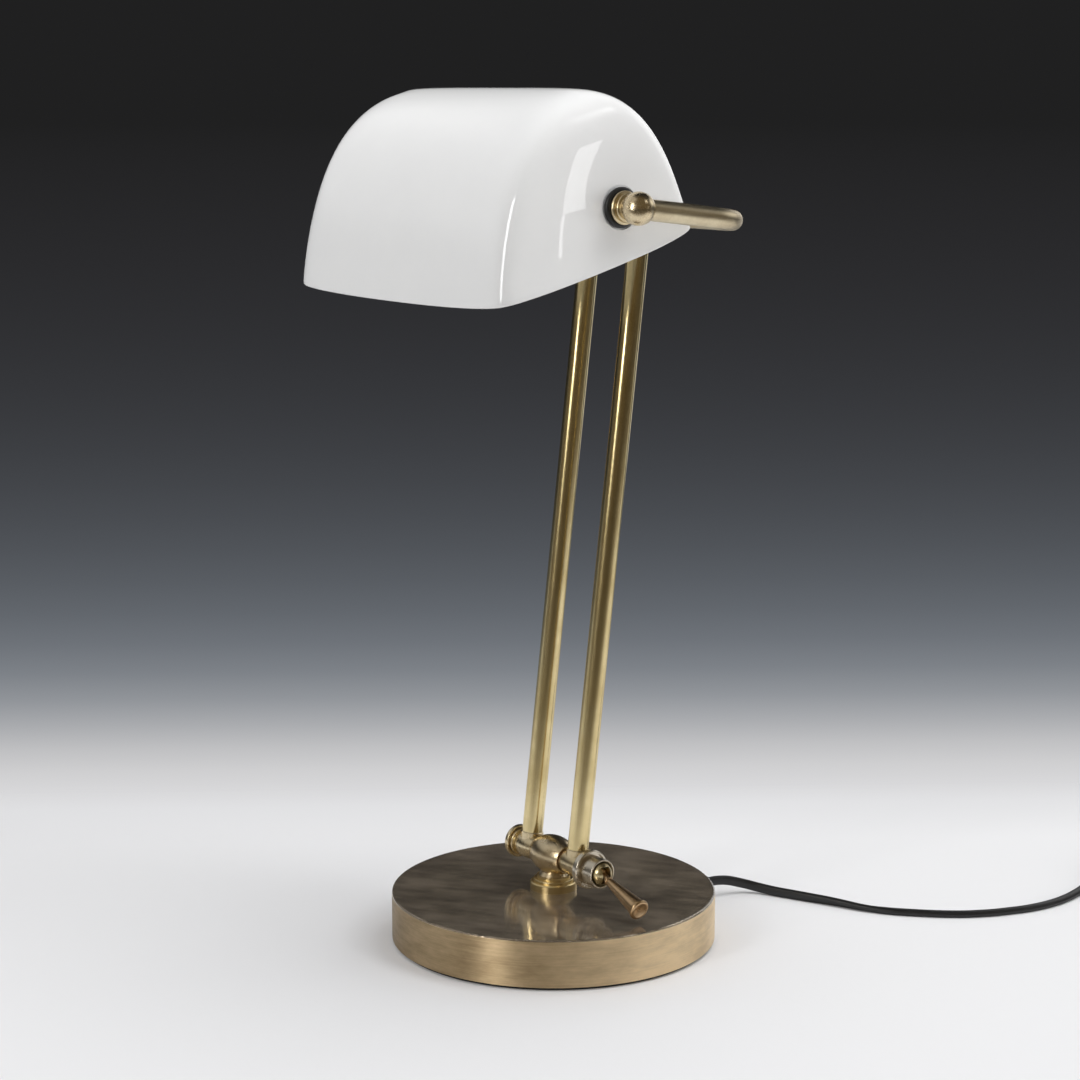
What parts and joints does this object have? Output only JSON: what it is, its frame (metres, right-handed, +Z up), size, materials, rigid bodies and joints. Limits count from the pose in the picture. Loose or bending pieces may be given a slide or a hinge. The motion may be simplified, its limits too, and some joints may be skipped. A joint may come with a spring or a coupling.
{
  "type": "desk lamp",
  "caption": "Desk lamp with an opal glass shade that tilts in a bent brass yoke, on twin tubes that tilt over a round weighted base, with a toggle switch and a flat cord.",
  "frame": {"origin": "centre of the base's underside, on the desk", "axes": "+Z up; the shade's open front faces -Y; the switch is on the +X side"},
  "size_m": [0.351, 0.6214, 0.5239],
  "materials": {
    "base_brass": "dark brushed bronze",
    "brass": "aged lacquered brass",
    "bronze": "satin bronze",
    "iron": "as cast",
    "steel": "plated",
    "felt": "felt",
    "fibre": "pressed fibre",
    "black_plastic": "moulded",
    "tie_plastic": "moulded",
    "rubber": "satin",
    "opal_glass": "polished opal",
    "bulb_glass": "frosted",
    "bulb_metal": "plain",
    "porcelain": "glazed"
  },
  "bodies": {
    "base": {"base_shell": "base_brass", "base_weight": "iron", "base_plate": "steel", "felt_pad": "felt", "stem": "steel", "stem_nut": "steel", "stem_washer": "steel", "collar": "brass", "knuckle": "bronze", "spindle": "steel", "spindle_nuts": "steel", "joint_washers": "fibre", "cord_gland": "rubber", "cord": "rubber", "cord_coil": "rubber", "cord_tie": "tie_plastic", "plug_body": "rubber", "plug_pins": "steel"},
    "arm": {"left_barrel": "brass", "right_barrel": "brass", "left_end_cap": "brass", "switch_flange": "brass", "switch_ring": "brass", "switch_body": "black_plastic", "toggle_pin": "steel", "left_arm_tube": "brass", "right_arm_tube": "brass", "left_tee": "brass", "right_tee": "brass", "yoke_tube": "brass", "left_yoke_ball": "bronze", "right_yoke_ball": "bronze", "left_pivot_collar": "brass", "right_pivot_collar": "brass", "left_nipple": "steel", "right_nipple": "steel", "left_lock_nut": "steel", "right_lock_nut": "steel", "holder_cap": "black_plastic", "holder_shell": "black_plastic", "holder_insert": "porcelain", "bulb_cap": "bulb_metal", "bulb_glass": "bulb_glass"},
    "shade": {"glass_shade": "opal_glass", "left_outer_washer": "rubber", "right_outer_washer": "rubber", "left_inner_washer": "rubber", "right_inner_washer": "rubber"},
    "lever": {"switch_lever": "brass"}
  },
  "joints": [
    {"name": "arm_tilt", "type": "hinge", "parent": "base", "child": "arm", "pos_m": [0, 0, 0.0527], "axis": [1, 0, 0], "range_deg": [-23, 37]},
    {"name": "shade_tilt", "type": "hinge", "parent": "arm", "child": "shade", "pos_m": [0, -0.03448, 0.45864], "axis": [1, 0, 0], "range_deg": [-55, 55]},
    {"name": "switch_toggle", "type": "hinge", "parent": "arm", "child": "lever", "pos_m": [0.0485, 0, 0.0527], "axis": [0, -1, 0], "range_deg": [0, 33]}
  ]
}
